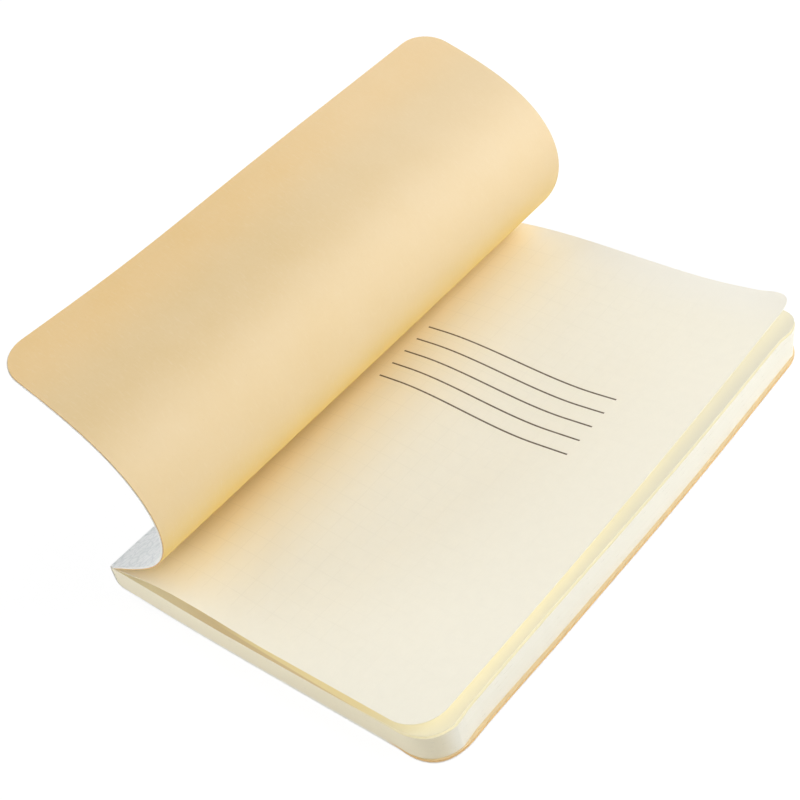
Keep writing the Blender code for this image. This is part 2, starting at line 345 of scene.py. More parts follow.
def fore_bow(x, y, share):
    """How far the fore-edge is bowed out, at a share of the block's height."""
    depth, place, reach = BOW
    start, growth = FOOT_CORNER
    bow = depth * np.cos(np.pi / 2.0 * np.clip((y - place) / reach, -1.0, 1.0)) ** 2
    back = FOOT_BACK + FOOT_CORNER_BACK * smoothstep((start - y) / growth)
    return (bow - back * (1.0 - share)) * smoothstep((x - BOW_START) / BOW_GROWTH)


def shape_edge(points, share):
    """Points below the first leaf, moved as the block's fore-edge and near corner are."""
    moved = corner_pull(points, (BLOCK_EDGE, -PAGE_HALF), NEAR_PULL)
    moved[..., 0] += fore_bow(points[..., 0], points[..., 1], share)
    return moved


def of_length_one(vectors):
    return vectors / np.maximum(np.linalg.norm(vectors, axis=-1, keepdims=True), 1e-12)


class Sheet:
    """A grid over one whole sheet: rows run across it from the spine, columns along Y."""

    def __init__(self, rows, half):
        self.rows = rows
        self.y = half[:, None] * np.linspace(-1.0, 1.0, COLUMNS)
        self.d = np.repeat(rows[:, None], COLUMNS, axis=1)
        self.flat = np.stack([self.d, self.y], axis=2)

    def row_at(self, distance):
        return int(np.argmin(np.abs(self.rows - distance)))


def outer_normals(lower, upper):
    """Normals of the upper of two grids of points, on its side away from the lower."""
    normals = of_length_one(np.cross(np.gradient(upper, axis=0), np.gradient(upper, axis=1)))
    return normals if np.sum(normals * (upper - lower)) > 0 else -normals


def build_piece(name, lower, upper, flat, materials, ends, rows=slice(None)):
    """Some rows of a sheet between two grids of points, with the whole sheet's normals.

    materials are those of the upper face, the lower face and the cut edges, and
    ends says whether the first and the last row are cut edges.
    """
    low, high = lower[rows], upper[rows]
    uv, out = flat[rows], outer_normals(lower, upper)[rows]
    count, width = high.shape[:2]
    points = np.concatenate([high.reshape(-1, 3), low.reshape(-1, 3)])
    facing = np.concatenate([out.reshape(-1, 3), -out.reshape(-1, 3)])
    index = np.arange(count * width).reshape(count, width)
    faces, slots, loops = [], [], []

    def face(corners, slot, corner_normals):
        faces.append([int(c) for c in corners])
        slots.append(slot)
        loops.extend(corner_normals)

    cross = np.cross(high[1, 0] - high[0, 0], high[0, 1] - high[0, 0])
    upward = np.dot(cross, out[0, 0]) > 0
    for i in range(count - 1):
        for j in range(width - 1):
            ring = [index[i, j], index[i + 1, j], index[i + 1, j + 1], index[i, j + 1]]
            if not upward:
                ring = ring[::-1]
            face(ring, 0, [facing[c] for c in ring])
            ring = [c + count * width for c in ring[::-1]]
            face(ring, 1, [facing[c] for c in ring])

    def wall(top, outward):
        bottom = top + count * width
        for k in range(len(top) - 1):
            ring = [top[k], top[k + 1], bottom[k + 1], bottom[k]]
            normal = np.cross(points[ring[1]] - points[ring[0]], points[ring[3]] - points[ring[0]])
            pair = [outward[k], outward[k + 1], outward[k + 1], outward[k]]
            if np.dot(normal, outward[k]) < 0:
                ring, pair = ring[::-1], pair[::-1]
            face(ring, 2, pair)

    def facing_out(line, surface_normals, inward):
        outward = np.cross(np.gradient(line, axis=0), surface_normals)
        sign = np.where(np.sum(outward * inward, axis=1) > 0, -1.0, 1.0)
        return of_length_one(outward * sign[:, None])

    for j in (0, width - 1):
        outward = facing_out(high[:, j], out[:, j], high[0, width // 2] - high[:, j])
        wall(index[:, j], outward)
    for i, wanted, step in ((0, ends[0], 1), (count - 1, ends[1], -1)):
        if wanted:
            middle = high[i + step, width // 2] - high[i, width // 2]
            outward = facing_out(high[i], out[i], np.tile(middle, (width, 1)))
            wall(index[i], outward)

    both = np.tile(uv.reshape(-1, 2), (2, 1))
    piece = mesh_object(name, points, faces, materials, slots, both[np.concatenate(faces)])
    piece.data.normals_split_custom_set([tuple(n) for n in loops])
    piece.data.update()
    return piece


def mesh_object(name, points, faces, materials, slots=None, uv=None):
    """A smooth mesh in the scene; uv has the flat coordinate of each corner of each face."""
    mesh = bpy.data.meshes.new(name)
    mesh.from_pydata([tuple(p) for p in points], [], faces)
    for material in materials:
        mesh.materials.append(material)
    if slots is not None:
        mesh.polygons.foreach_set("material_index", slots)
    if uv is not None:
        layer = mesh.uv_layers.new(name="flat")
        layer.data.foreach_set("uv", (uv * UV_UNIT).astype(np.float32).ravel())
    mesh.shade_smooth()
    mesh.update()
    return place_in_scene(name, mesh)


def place_in_scene(name, data):
    holder = bpy.data.objects.new(name, data)
    bpy.context.scene.collection.objects.link(holder)
    return holder


# Materials

def add_node(tree, kind, **settings):
    node = tree.nodes.new(kind)
    for key, value in settings.items():
        setattr(node, key, value)
    return node


class Paint:
    """A Principled material, whose nodes read the flat coordinate in millimetres."""

    def __init__(self, name, colour, roughness, specular):
        self.material = bpy.data.materials.new(name)
        self.material.use_nodes = True
        self.tree = self.material.node_tree
        self.shader = self.tree.nodes["Principled BSDF"]
        self.feed_named(self.shader, Base_Color=colour, Roughness=roughness, Specular_IOR_Level=specular)
        uv = self.add("ShaderNodeUVMap", uv_map="flat")
        self.flat = self.vector("MULTIPLY", uv.outputs[0], [1.0 / (UV_UNIT * MM)] * 3)

    def add(self, kind, **settings):
        return add_node(self.tree, kind, **settings)

    def feed(self, socket, value):
        if isinstance(value, bpy.types.NodeSocket):
            self.tree.links.new(value, socket)
        elif socket.type == "RGBA":
            socket.default_value = (*value, 1.0)
        else:
            socket.default_value = value

    def feed_all(self, sockets, values):
        for socket, value in zip(sockets, values):
            self.feed(socket, value)

    def feed_named(self, node, **values):
        for name, value in values.items():
            self.feed(node.inputs[name.replace("_", " ")], value)

    def vector(self, operation, *values):
        node = self.add("ShaderNodeVectorMath", operation=operation)
        self.feed_all(node.inputs, values)
        return node.outputs[0]

    def math(self, operation, *values):
        node = self.add("ShaderNodeMath", operation=operation)
        self.feed_all(node.inputs, values)
        return node.outputs[0]

    def times(self, first, *others):
        for value in others:
            first = self.math("MULTIPLY", first, value)
        return first

    def split(self, coordinates):
        node = self.add("ShaderNodeSeparateXYZ")
        self.feed(node.inputs[0], coordinates)
        return node.outputs[0], node.outputs[1]

    def noise(self, scale, detail, stretch=(1.0, 1.0, 1.0), shift=(0.0, 0.0, 0.0), rough=0.55):
        """Noise with a given number of features in a millimetre."""
        place = self.vector("ADD", self.vector("MULTIPLY", self.flat, stretch), shift)
        node = self.add("ShaderNodeTexNoise")
        self.feed_named(node, Vector=place, Scale=scale, Detail=detail, Roughness=rough)
        return node.outputs["Fac"]

    def ramp(self, value, *bounds, **settings):
        """A value between two bounds, brought to 0 to 1 or to two more bounds."""
        node = self.add("ShaderNodeMapRange", **settings)
        self.feed_all(node.inputs, (value, *bounds))
        return node.outputs[0]

    def smooth(self, value, low, high):
        return self.ramp(value, low, high, interpolation_type="SMOOTHSTEP")

    def mix(self, share, a, b):
        node = self.add("ShaderNodeMix", data_type="RGBA")
        self.feed_all((node.inputs[0], node.inputs[6], node.inputs[7]), (share, a, b))
        return node.outputs[2]

    def bump(self, height, distance, strength, after=None):
        node = self.add("ShaderNodeBump")
        self.feed_named(node, Height=height, Distance=distance, Strength=strength)
        if after is not None:
            self.feed(node.inputs["Normal"], after)
        return node.outputs[0]

    def finish(self, colour, normal, roughness=None):
        self.feed_named(self.shader, Base_Color=colour, Normal=normal)
        if roughness is not None:
            self.feed_named(self.shader, Roughness=roughness)
        return self.material


def stripes(paint, value, spacing, shift, width):
    """1 on lines of a width, at every spacing from a shift; all in millimetres."""
    turns = paint.math("DIVIDE", paint.math("SUBTRACT", value, shift), spacing)
    away = paint.math("PINGPONG", turns, 0.5)
    half = width / 2.0 / spacing
    return paint.ramp(away, half * 1.25, half * 0.75)


def between(paint, value, low, high):
    """1 where a value lies between two others."""
    above = paint.math("GREATER_THAN", value, low)
    below = paint.math("LESS_THAN", value, high)
    return paint.times(above, below)


def squares(paint):
    """The squared ruling of a page, as a mask."""
    across, along = paint.split(paint.flat)
    first, second = (stripes(paint, value, SQUARE / MM, shift / MM, SQUARE_LINE / MM)
                     for value, shift in zip((across, along), SQUARE_SHIFT))
    lines = paint.math("MAXIMUM", first, second)
    margin = SQUARE_SHIFT[0] / MM
    inside = between(paint, across, margin - 0.1, PAGE_WIDTH / MM - 2.0 * margin - 1.0)
    top = (PAGE_HALF - SQUARE_MARGIN) / MM
    height = between(paint, along, -top, top)
    return paint.times(lines, inside, height)


def tinted(colour, tint):
    return tuple(min(c * k, 1.0) for c, k in zip(colour, tint))


PAPER = (0.945, 0.915, 0.790)
PAPER_FAR_END = (0.945, 0.932, 0.870)
# Painted shade on the title page beside the fold, where the curl of the cover shades it, and the distances
# from the crease over which it fades out
PAPER_PAINTED_SHADE = (0.892, 0.850, 0.712)
PAPER_PAINTED_SHADE_REACH = (31.0, 47.0)
# Painted warm light on the title page at the fold, for the light that the kraft lining throws onto it, and
# where it fades out
PAPER_PAINTED_FOLD_LIGHT = (0.990, 0.895, 0.668)
PAPER_FOLD_LIGHT_REACH = (18.5, 28.5)
# Paper of the inner pages, darker and more yellow than PAPER: partly its own tone, partly painted shade for
# the first leaf above it, which casts no shadow
PAPER_INNER = (0.850, 0.797, 0.592)
# Painted shade on the second leaf towards its far end, darker and less yellow
PAPER_INNER_FAR_PAINTED_SHADE = (0.775, 0.742, 0.608)
# Painted light and shade in the gap under the first leaf's near end: warm light through the leaf into its
# shade, brighter light at the fold, and shade along the rim
PAPER_GAP_PAINTED_LIGHT = (0.866, 0.755, 0.460)
PAPER_GAP_PAINTED_FOLD_LIGHT = (1.000, 0.900, 0.620)
PAPER_GAP_PAINTED_RIM_SHADE = (0.726, 0.592, 0.364)
PAPER_EDGE = (0.915, 0.890, 0.775)
# Painted shade on the near end face of the block, darker and warmer than the fore-edge, deepest at the
# rounded corner
PAPER_EDGE_END_PAINTED_SHADE = (0.920, 0.850, 0.660)
PAPER_EDGE_CORNER_PAINTED_SHADE = (0.874, 0.805, 0.613)
INK = (0.070, 0.036, 0.009)
GRID_INK = (0.50, 0.50, 0.47)
GRID_INK_SHARE = 0.55


def paper_base(name, colour):
    """Uncoated paper: cloudy formation, fine fibres and a faint tooth."""
    paint = Paint(name, colour, 0.85, 0.14)
    cloud = paint.ramp(paint.noise(0.35, 4.0), 0.3, 0.7)
    fibre = paint.ramp(paint.noise(2.2, 2.0, stretch=(1.0, 0.35, 1.0)), 0.35, 0.65)
    tone = paint.math("ADD", paint.times(cloud, 0.6), paint.times(fibre, 0.4))
    surface = paint.mix(tone, tinted(colour, [0.985] * 3), tinted(colour, [1.01] * 3))
    normal = paint.bump(paint.noise(6.0, 2.0), 0.012 * MM, 0.5)
    return paint, surface, normal


def title_paper():
    """Upper side of the first leaf: five printed lines, and the squares showing through; paler towards the
    far end, with painted shade and painted warm light beside the fold.
    """
    paint, surface, normal = paper_base("title_page", PAPER)
    across, along = paint.split(paint.flat)
    far_end = paint.times(paint.smooth(along, 58.0, 74.0), 0.55)
    surface = paint.mix(far_end, surface, PAPER_FAR_END)
    near_end = paint.times(paint.smooth(along, -44.0, -68.0), 0.85)
    ends = paint.math("MAXIMUM", near_end, far_end)
    # Painted shade beside the fold, less of it towards the near and the far end
    away = paint.math("MAXIMUM", paint.smooth(across, *PAPER_PAINTED_SHADE_REACH), ends)
    surface = paint.mix(away, PAPER_PAINTED_SHADE, surface)
    # Painted warm light at the fold, less of it at the near end
    away = paint.math("MAXIMUM", paint.smooth(across, *PAPER_FOLD_LIGHT_REACH), near_end)
    surface = paint.mix(away, PAPER_PAINTED_FOLD_LIGHT, surface)
    ghost = paint.times(squares(paint), paint.noise(0.12, 2.0))
    faded = paint.ramp(across, 20.0, 85.0, 0.17, 0.035)
    surface = paint.mix(paint.times(ghost, faded), surface, tinted(PAPER, [0.55] * 3))
    lines = stripes(paint, along, RULE_SPACING / MM, RULE_LOWEST / MM, RULE_WIDTH / MM)
    top = RULE_LOWEST + RULE_SPACING * (RULE_COUNT - 1)
    height = between(paint, along, (RULE_LOWEST - RULE_WIDTH) / MM, (top + RULE_WIDTH) / MM)
    reach = between(paint, across, RULE_START / MM, (RULE_START + RULE_LENGTH) / MM)
    mask = paint.times(lines, height, reach)
    density = paint.ramp(paint.noise(1.5, 3.0), 0.3, 0.7, 0.86, 1.0)
    surface = paint.mix(paint.times(mask, density), surface, INK)
    return paint.finish(surface, normal)


def squared_base(name):
    """Paper of the inner pages, with its squared ruling printed in pale grey."""
    paint, surface, normal = paper_base(name, PAPER_INNER)
    surface = paint.mix(paint.times(squares(paint), GRID_INK_SHARE), surface, GRID_INK)
    return paint, surface, normal


def second_paper():
    """The second leaf: painted warm light and painted shade in the gap along its near end, painted shade
    towards its far end.
    """
    paint, surface, normal = squared_base("second_page")
    across, along = paint.split(paint.flat)
    # Painted shade, darker and less yellow, towards the far end
    surface = paint.mix(paint.smooth(along, -40.0, 58.0), surface, PAPER_INNER_FAR_PAINTED_SHADE)
    # Painted light and shade in the gap under the first leaf's near end: brighter near the fold, shade
    # along the rim, warm light deeper in
    rim = paint.mix(paint.smooth(across, 0.0, 40.0), PAPER_GAP_PAINTED_FOLD_LIGHT, PAPER_GAP_PAINTED_RIM_SHADE)
    narrower = paint.math("ADD", along, paint.times(across, 0.027))
    deep = paint.times(paint.smooth(narrower, -71.95, -71.6), paint.smooth(across, 32.0, 50.0))
    gap = paint.mix(deep, rim, PAPER_GAP_PAINTED_LIGHT)
    clear = paint.math("MAXIMUM", paint.smooth(along, -72.0, -64.0), paint.smooth(across, 80.0, 98.0))
    surface = paint.mix(clear, gap, surface)
    return paint.finish(surface, normal)


def finished(paint, surface, normal):
    return paint.finish(surface, normal)


def edge_paper():
    """Cut edges of a pack of leaves: smooth, with faint long lines, a few dark dashes of painted shadow
    between the sections, and painted shade on the near end face.
    """
    paint = Paint("page_edges", PAPER_EDGE, 0.8, 0.2)
    along, height = paint.split(paint.flat)
    line = paint.noise(5.0, 2.0, stretch=(0.012, 1.0, 1.0), rough=0.6)
    broad = paint.noise(0.8, 2.0, stretch=(0.05, 1.0, 1.0), shift=(3.0, 7.0, 0.0))
    tone = paint.math("ADD", paint.times(line, 0.5), paint.times(broad, 0.5))
    tone = paint.ramp(tone, 0.3, 0.7)
    darker = tinted(PAPER_EDGE, (0.988, 0.984, 0.975))
    surface = paint.mix(tone, darker, tinted(PAPER_EDGE, (1.01, 1.01, 1.02)))
    # Painted shade along the near end face, deepening towards the rounded corner, then the fore-edge's own
    # tone
    end_painted_shade = paint.mix(paint.smooth(along, 30.0, 95.0), PAPER_EDGE_END_PAINTED_SHADE, PAPER_EDGE_CORNER_PAINTED_SHADE)
    surface = paint.mix(paint.smooth(along, 104.0, 108.5), end_painted_shade, surface)
    # Dark dashes of painted shadow in the gaps between the sections
    joints_between = stripes(paint, height, BLOCK_HEIGHT / MM / SECTIONS, 0.0, 0.10)
    inside = between(paint, height, 0.5, 6.0)
    broken = paint.noise(0.5, 3.0, stretch=(1.0, 0.4, 1.0), shift=(5.0, 1.0, 0.0))
    broken = paint.ramp(broken, 0.56, 0.66)
    shadow_dash = paint.times(joints_between, inside, broken)
    surface = paint.mix(paint.times(shadow_dash, 0.34), surface, (0.50, 0.46, 0.38))
    normal = paint.bump(line, 0.003 * MM, 0.4)
    return paint.finish(surface, normal)


KRAFT = (0.822, 0.628, 0.345)
# Painted shade on the outer part of the lining
KRAFT_OUTER_PAINTED_SHADE = (0.752, 0.562, 0.291)
# Painted warm light on the lining near the fold, for the light that bounces between the lining and the page
KRAFT_PAINTED_FOLD_LIGHT = (0.958, 0.658, 0.122)
# Painted shade, darker and more saturated, along the free edge of the lining
KRAFT_EDGE_PAINTED_SHADE = (0.806, 0.563, 0.256)
# Paler kraft: the cloud and fibres of the paper, and a painted sheen across the middle of the lining
KRAFT_PALE = (0.900, 0.760, 0.560)
KRAFT_FLECK = (0.550, 0.360, 0.170)
KRAFT_FOLD_LIGHT_REACH = (28.0, 52.0)
KRAFT_OUTER_SHADE_REACH = (60.0, 80.0)
RIM_PALE_FROM = 38.0


def kraft_paper():
    """Kraft lining: smooth with a soft sheen, cloudy, with fine pale and dark fibres; painted warm light
    near the fold, a painted sheen across the middle and painted shade towards the outer edge.
    """
    paint = Paint("kraft_lining", KRAFT, 0.5, 0.42)
    across, along = paint.split(paint.flat)
    cloud = paint.ramp(paint.noise(0.06, 4.0, rough=0.6), 0.3, 0.7)
    mottle = paint.ramp(paint.noise(0.9, 4.0, rough=0.6), 0.3, 0.7)
    fibre = paint.ramp(paint.noise(1.6, 3.0, stretch=(0.25, 1.3, 1.0), shift=(9.0, 2.0, 0.0)), 0.56, 0.72)
    fleck = paint.ramp(paint.noise(2.6, 2.0, stretch=(0.6, 0.6, 1.0), shift=(1.0, 5.0, 0.0)), 0.66, 0.78)
    # Painted warm light near the fold
    surface = paint.mix(paint.smooth(across, *KRAFT_FOLD_LIGHT_REACH), KRAFT_PAINTED_FOLD_LIGHT, KRAFT)
    # Painted shade towards the outer part
    surface = paint.mix(paint.smooth(across, *KRAFT_OUTER_SHADE_REACH), surface, KRAFT_OUTER_PAINTED_SHADE)
    # Painted shade along the free edge
    surface = paint.mix(paint.smooth(across, 82.0, 98.0), surface, KRAFT_EDGE_PAINTED_SHADE)
    # A painted sheen: a paler band across the middle of the lining, more of it towards the far end
    painted_sheen = paint.times(paint.smooth(across, 46.0, 66.0), paint.smooth(along, -15.0, 55.0))
    for mask, share in ((painted_sheen, 0.20), (cloud, 0.14), (mottle, 0.06), (fibre, 0.14)):
        surface = paint.mix(paint.times(mask, share), surface, KRAFT_PALE)
    surface = paint.mix(paint.times(fleck, 0.12), surface, KRAFT_FLECK)
    rough = paint.ramp(mottle, 0.0, 1.0, 0.49, 0.56)
    normal = paint.bump(paint.noise(4.0, 3.0), 0.010 * MM, 0.5)
    return paint.finish(surface, normal, rough)


SKIN = (0.879, 0.898, 0.893)
SKIN_DARK = (0.665, 0.698, 0.708)
SKIN_PALE = (0.922, 0.931, 0.926)


def threads(paint, pitch):
    """Waves across and along, with a thread of cloth at every pitch in millimetres."""
    turn = 2.0 * math.pi / pitch
    return [paint.math("SINE", paint.times(value, turn)) for value in paint.split(paint.flat)]


def cracks(paint, place, scale, low, high):
    """1 on the lines between irregular cells."""
    cells = paint.add("ShaderNodeTexVoronoi", feature="DISTANCE_TO_EDGE")
    paint.feed_named(cells, Vector=place, Scale=scale)
    return paint.ramp(cells.outputs["Distance"], low, high, 1.0, 0.0)


def cover_paper():
    """Outside of the cover: grey paper with a pale crackle print and a linen emboss."""
    paint = Paint("grey_cover", SKIN, 0.55, 0.18)
    wander = paint.add("ShaderNodeTexNoise")
    paint.feed_named(wander, Vector=paint.flat, Scale=0.45, Detail=3.0)
    pushed = paint.vector("ADD", paint.flat, paint.vector("MULTIPLY", wander.outputs["Color"], [1.8] * 3))
    vein = cracks(paint, pushed, 0.36, 0.02, 0.12)
    small = cracks(paint, pushed, 0.9, 0.03, 0.16)
    cloud = paint.ramp(paint.noise(0.12, 4.0), 0.35, 0.65)
    surface = paint.mix(cloud, SKIN, SKIN_PALE)
    patch = paint.ramp(paint.noise(0.35, 3.0, shift=(4.0, 4.0, 0.0)), 0.38, 0.60)
    surface = paint.mix(paint.times(vein, 0.50), surface, SKIN_DARK)
    surface = paint.mix(paint.times(small, patch, 0.38), surface, SKIN_DARK)
    weave = paint.times(paint.math("ADD", *threads(paint, 0.55)), 0.5)
    weave = paint.math("ADD", weave, paint.noise(3.0, 2.0))
    normal = paint.bump(weave, 0.02 * MM, 0.5)
    normal = paint.bump(paint.math("SUBTRACT", 1.0, vein), 0.06 * MM, 0.6, normal)
    rough = paint.ramp(vein, 0.0, 1.0, 0.5, 0.62)
    return paint.finish(surface, normal, rough)


def cut_edge(name, darker, lighter):
    paint = Paint(name, darker, 0.8, 0.2)
    tone = paint.ramp(paint.noise(3.0, 3.0), 0.3, 0.7)
    return paint, paint.mix(tone, darker, lighter), paint.bump(tone, 0.02 * MM, 0.4)


def board_edge():
    """Cut edge of the cover paper, whose core is paler than its print."""
    return finished(*cut_edge("cover_cut_edge", (0.87, 0.86, 0.82), (0.95, 0.94, 0.91)))


def kraft_edge(name, pale_from=None):
    """Cut edge of the kraft lining, pale where the leaves hang over it."""
    paint, surface, normal = cut_edge(name, (0.79, 0.50, 0.215), (0.86, 0.58, 0.28))
    if pale_from is not None:
        across, along = paint.split(paint.flat)
        inner = paint.smooth(across, pale_from + 3.0, pale_from - 3.0)
        near = paint.math("LESS_THAN", along, -PAGE_HALF / MM + 4.0)
        surface = paint.mix(paint.times(inner, near), surface, PAPER_EDGE)
    return paint.finish(surface, normal)


def cloth():
    """Open cotton cloth glued over the folds."""
    paint = Paint("spine_gauze", (0.80, 0.78, 0.72), 0.9, 0.2)
    weave = paint.times(*threads(paint, 0.7))
    tone = paint.ramp(weave, -0.6, 0.8)
    surface = paint.mix(tone, (0.62, 0.60, 0.53), (0.84, 0.82, 0.77))
    return paint.finish(surface, paint.bump(weave, 0.05 * MM, 0.7))


def linen_thread():
    """Twisted sewing thread; the solid of the frame wears it."""
    paint = Paint("waxed_thread", (0.83, 0.80, 0.70), 0.7, 0.3)
    place = paint.add("ShaderNodeTexCoord")
    wave = paint.add("ShaderNodeTexWave", bands_direction="DIAGONAL")
    paint.feed_named(wave, Vector=place.outputs["Object"], Scale=0.9 / MM)
    surface = paint.mix(wave.outputs["Fac"], (0.70, 0.66, 0.54), (0.88, 0.85, 0.77))
    return paint.finish(surface, paint.bump(wave.outputs["Fac"], 0.06 * MM, 0.7))


# Front cover

def curl_at(y):
    """Slope, place and distance along the curl of the cover, at one height on the spine."""
    share = (y + COVER_HALF) / (2.0 * COVER_HALF)
    start, end, centre, spread = (a + (b - a) * share for a, b in zip(CURL_NEAR, CURL_FAR))
    centre += CURL_SWELL * 4.0 * share * (1.0 - share)
    distance = np.linspace(-CURL_LEAD, FRONT_WIDTH, CURL_STEPS + 1)
    middle = (distance[1:] + distance[:-1]) / 2.0

    def slope(d):
        return np.radians(start + (end - start) / (1.0 + np.exp((centre - d) / spread)))

    step = distance[1] - distance[0]
    x = np.concatenate([[0.0], np.cumsum(np.cos(slope(middle)) * step)])
    z = np.concatenate([[0.0], np.cumsum(np.sin(slope(middle)) * step)])
    x += CREASE_X - np.interp(0.0, distance, x)
    z += CREASE_INNER_Z - np.interp(0.0, distance, z)
    return distance, slope, x, z


def edge_sag(distance, y):
    """How far the free edge of the cover has moved towards its inner side."""
    dip = SAG_DEPTH * math.exp(-((y - SAG_PLACE) / SAG_REACH) ** 2) - SAG_TILT * y / COVER_HALF
    return dip * smoothstep((distance - SAG_START) / (FRONT_WIDTH + SAG_PAST - SAG_START))


def crest_room(distance, y):
    """How far the cover stands off beside the spine, for the first leaf's crest."""
    near, far = CREST_ROOM
    height = near + (far - near) * (y + COVER_HALF) / (2.0 * COVER_HALF)
    start, end = CREST_ROOM_FALL
    return height * smoothstep(distance / CREST_ROOM_RISE) * smoothstep((end - distance) / (end - start))


def slide_back(points, sheet, by_distance):
    """Points of the far end moved along the lines of sight, away from the camera."""
    start, reach = by_distance
    ray = of_length_one(points - np.array(CAMERA_PLACE))
    amount = SLIDE * smoothstep((sheet.y - SLIDE_START) / SLIDE_GROWTH)
    amount = amount * smoothstep((sheet.d - start) / reach)
    return points + ray * amount[..., None]


def curl_grid(sheet, shift):
    """Points of the cover's sheet at an offset from its inner face towards its skin."""
    heights = np.linspace(-COVER_HALF, COVER_HALF, CURL_STATIONS)
    xs, zs = [], []
    for y in heights:
        distance, slope, x, z = curl_at(y)
        angle = slope(sheet.rows)
        offset = shift + edge_sag(sheet.rows, y) + crest_room(sheet.rows, y)
        xs.append(np.interp(sheet.rows, distance, x) - np.sin(angle) * offset)
        zs.append(np.interp(sheet.rows, distance, z) + np.cos(angle) * offset)
    points = [np.stack([np.interp(y, heights, x), y, np.interp(y, heights, z)], axis=1)
              for y, x, z in zip(sheet.y, np.array(xs).T, np.array(zs).T)]
    return slide_back(np.array(points), sheet, SLIDE_COVER)


def bend_distances():
    """Distances along the cover of the frame's bend lines, the score line first."""
    distance, slope, x, z = curl_at(0.0)
    middle = np.stack([x - np.sin(slope(distance)) * COVER_THICKNESS / 2,
                       z + np.cos(slope(distance)) * COVER_THICKNESS / 2], axis=1)
    found = []
    for name in ["front_cover_opening"] + [f"front_cover_bend_{i}" for i in range(1, BENDS + 1)]:
        place = np.array(joint_place(name))
        found.append(float(distance[np.argmin(np.linalg.norm(middle - place, axis=1))]))
    return found


def build_cover(kraft, kraft_cut, skin, skin_cut):
    """Lining and skin of the front cover, each cut into pieces that meet half way between its bend lines.
    """
    bends = bend_distances() + [FRONT_WIDTH]
    starts = [0.0] + bends[:-1]
    middles = [(a + b) / 2.0 for a, b in zip(starts, bends)]
    layers = (
        ("lining", 0.0, LINING_THICKNESS, LINING_INSET, (kraft, kraft, kraft_cut), "kraft_paper"),
        ("skin", LINING_THICKNESS + CLEARANCE, COVER_THICKNESS, 0.0, (skin, skin, skin_cut),
         "grey_linen_paper"),
    )
    for layer, inner, outer, inset, materials, slot in layers:
        edge = FRONT_WIDTH - inset
        stops = [0.0] + middles[:-1] + [edge]
        rows = stations(stops, COVER_CORNER)
        half = COVER_HALF - inset - corner_inset(edge - rows, COVER_CORNER)
        sheet = Sheet(rows, half)
        low, high = curl_grid(sheet, inner), curl_grid(sheet, outer)
        for k, (start, end) in enumerate(zip(stops, stops[1:])):
            span = slice(sheet.row_at(start), sheet.row_at(end) + 1)
            name = f"cover_{layer}_{k + 1}"
            piece = build_piece(name, low, high, sheet.flat, materials, (False, end == edge), span)
            if k == 0:
                blend_to = middles[0]
            else:
                blend_to = min(end, start + COVER_BLEND * (bends[k - 1] - start))
            a = curl_point(start)
            b = curl_point(blend_to)
            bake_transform(piece)
            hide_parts(f"front_{layer}_{k + 1}")


def curl_point(distance):
    """A point of the cover's inner face, half way along the spine."""
    along, slope, x, z = curl_at(0.0)
    return float(np.interp(distance, along, x)), 0.0, float(np.interp(distance, along, z))


# First and second leaf

def block_top(x):
    """Upper face of the text block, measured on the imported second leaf."""
    return np.interp(x, TOP_X, TOP_Z)


def measure_second_leaf():
    """Underside of the second leaf along X, read from its node's own vertices."""
    node = frame["nodes"]["second_leaf"]
    found = {}
    for vertex in node.data.vertices:
        place = node.matrix_world @ vertex.co
        key = round(place.x, 6)
        found[key] = min(found.get(key, 1.0), place.z)
    return np.array(sorted(found.items())).T


TOP_X, TOP_Z = measure_second_leaf()


def leaf_height(reach, y):
    """Underside of the first leaf at a distance from its root."""
    share = (y + PAGE_HALF) / (2.0 * PAGE_HALF)
    crest, crest_height = through(CREST_REACH, share), through(CREST_HEIGHT, share)
    trough, trough_height = through(TROUGH_REACH, share), through(TROUGH_HEIGHT, share)
    edge_height = through(EDGE_HEIGHT, share)
    root = LEAF_ROOT_Z - LEAF_ROOT_DROP
    rise = np.sin(np.pi / 2.0 * np.clip(reach / crest, 0.0, 1.0))
    crest_end = through(CREST_END, share)
    fall = smoothstep((reach - crest_end) / (trough - crest_end))
    z = root + (crest_height - root) * rise + (trough_height - crest_height) * fall
    start = trough - EDGE_LIFT_LEAD
    lift = np.clip((reach - start) / (LEAF_REACH - start), 0.0, 1.0)
    return z + (edge_height - trough_height) * lift ** 2


def loose_leaf(sheet, underside):
    """Points of the underside of a leaf, before its corners are pulled."""
    return np.stack([CREASE_X + sheet.d, sheet.y, underside], axis=2)


def build_first_leaf(title, back, cut):
    """The loose sheet, whose thin paper lets the lamps' light through to the next."""
    bends = [joint_place(f"first_leaf_bend_{i}")[0] - CREASE_X for i in range(1, BENDS + 1)]
    stops = [ROOT_START, ROOT_END]
    stops += [(a + b) / 2.0 for a, b in zip(bends, bends[1:])] + [LEAF_REACH]
    rows = stations(stops, LEAF_CORNER)
    half = PAGE_HALF - corner_inset(LEAF_REACH - rows, LEAF_CORNER)
    sheet = Sheet(rows, half)
    low = loose_leaf(sheet, leaf_height(sheet.d, sheet.y))
    low = corner_pull(low, (CREASE_X + LEAF_REACH, PAGE_HALF), LEAF_PULL)
    low = slide_back(low, sheet, SLIDE_LEAF)
    high = low + np.array([0.0, 0.0, LEAF_THICKNESS])
    flat = np.stack([run_length(high) + rows[0], sheet.y], axis=2)
    for k, (start, end) in enumerate(zip(stops, stops[1:])):
        span = slice(sheet.row_at(start), sheet.row_at(end) + 1)
        name = "first_leaf_root" if k == 0 else f"first_leaf_sheet_{k}"
        last = end == LEAF_REACH
        piece = build_piece(name, low, high, flat, (title, back, cut), (False, last), span)
        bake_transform(piece)
        piece.visible_shadow = False
        if k > 0:
            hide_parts(*([f"first_leaf_{k + 1}"] if k > 1 else ["first_leaf_1", "first_leaf_2"]))


